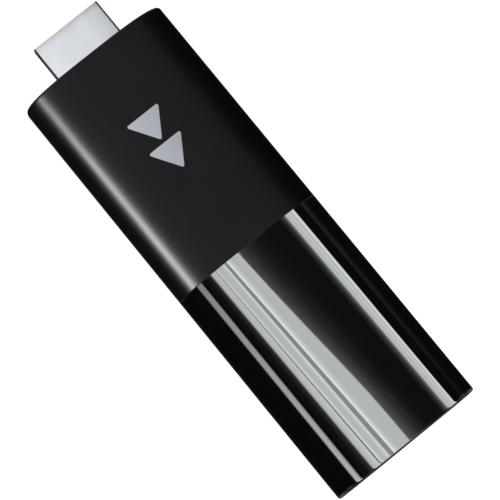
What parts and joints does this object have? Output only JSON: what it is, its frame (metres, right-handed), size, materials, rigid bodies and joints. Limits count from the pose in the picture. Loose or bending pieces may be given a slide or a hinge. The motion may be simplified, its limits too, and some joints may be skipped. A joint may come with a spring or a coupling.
{
  "type": "streaming media player stick",
  "caption": "Slim black media streaming stick with rounded sides, matte near its metal video plug and glossy towards the small power socket in its tail, with an inlaid arrow badge.",
  "frame": {"origin": "under the middle of the whole stick, plug included, on the surface its back lies on", "axes": "+Y along the stick towards the plug, +Z out of the front face with the badge, +X across the width"},
  "size_m": [0.0296, 0.0932, 0.0148],
  "materials": {
    "matte_casing": "fine satin texture",
    "gloss_casing": "mirror polished",
    "badge_metal": "satin",
    "plug_steel": "fine brushed nickel plate",
    "black_plastic": "moulded",
    "grey_plastic": "moulded",
    "gold_contacts": "gold plated",
    "foam": "open foam",
    "circuit_board": "solder mask",
    "chip_package": "moulded epoxy",
    "capacitor_ceramic": "ceramic with tinned ends",
    "inductor_ferrite": "pressed ferrite",
    "resistor_body": "glazed with tinned ends",
    "shield_steel": "tinned sheet",
    "thermal_pad": "soft gap filler",
    "spreader_metal": "milled",
    "screw_steel": "black zinc",
    "antenna_metal": "tinned brass",
    "clear_plastic": "clear moulded plastic",
    "led_body": "clear epoxy on white"
  },
  "bodies": {
    "root": {"matte_sleeve": "matte_casing", "gloss_sleeve": "gloss_casing", "badge_inlay": "badge_metal", "plug_shell": "plug_steel", "plug_insulator": "black_plastic", "plug_contacts_upper": "gold_contacts", "plug_contacts_lower": "gold_contacts", "plug_tail_covers": "shield_steel", "plug_bulkhead": "grey_plastic", "plug_gasket": "foam", "main_board": "circuit_board", "usb_shell": "plug_steel", "usb_insulator": "black_plastic", "usb_contacts": "gold_contacts", "processor": "chip_package", "power_manager": "chip_package", "memory_chips": "chip_package", "flash_chip": "chip_package", "crystal": "shield_steel", "radio_board": "circuit_board", "radio_can": "shield_steel", "power_inductors": "inductor_ferrite", "ceramic_capacitors": "capacitor_ceramic", "chip_resistors": "resistor_body", "surge_arrays": "chip_package", "status_led": "led_body", "light_pipe": "clear_plastic", "shield_fence_front": "shield_steel", "shield_lid_front": "shield_steel", "shield_fence_rear": "shield_steel", "shield_lid_rear": "shield_steel", "processor_pad": "thermal_pad", "memory_pads": "thermal_pad", "spreader_pad_front": "thermal_pad", "spreader_pad_rear": "thermal_pad", "spreader_front": "spreader_metal", "spreader_rear": "spreader_metal", "core_screws": "screw_steel", "wifi_antenna": "antenna_metal", "bluetooth_antenna": "antenna_metal"}
  },
  "joints": []
}
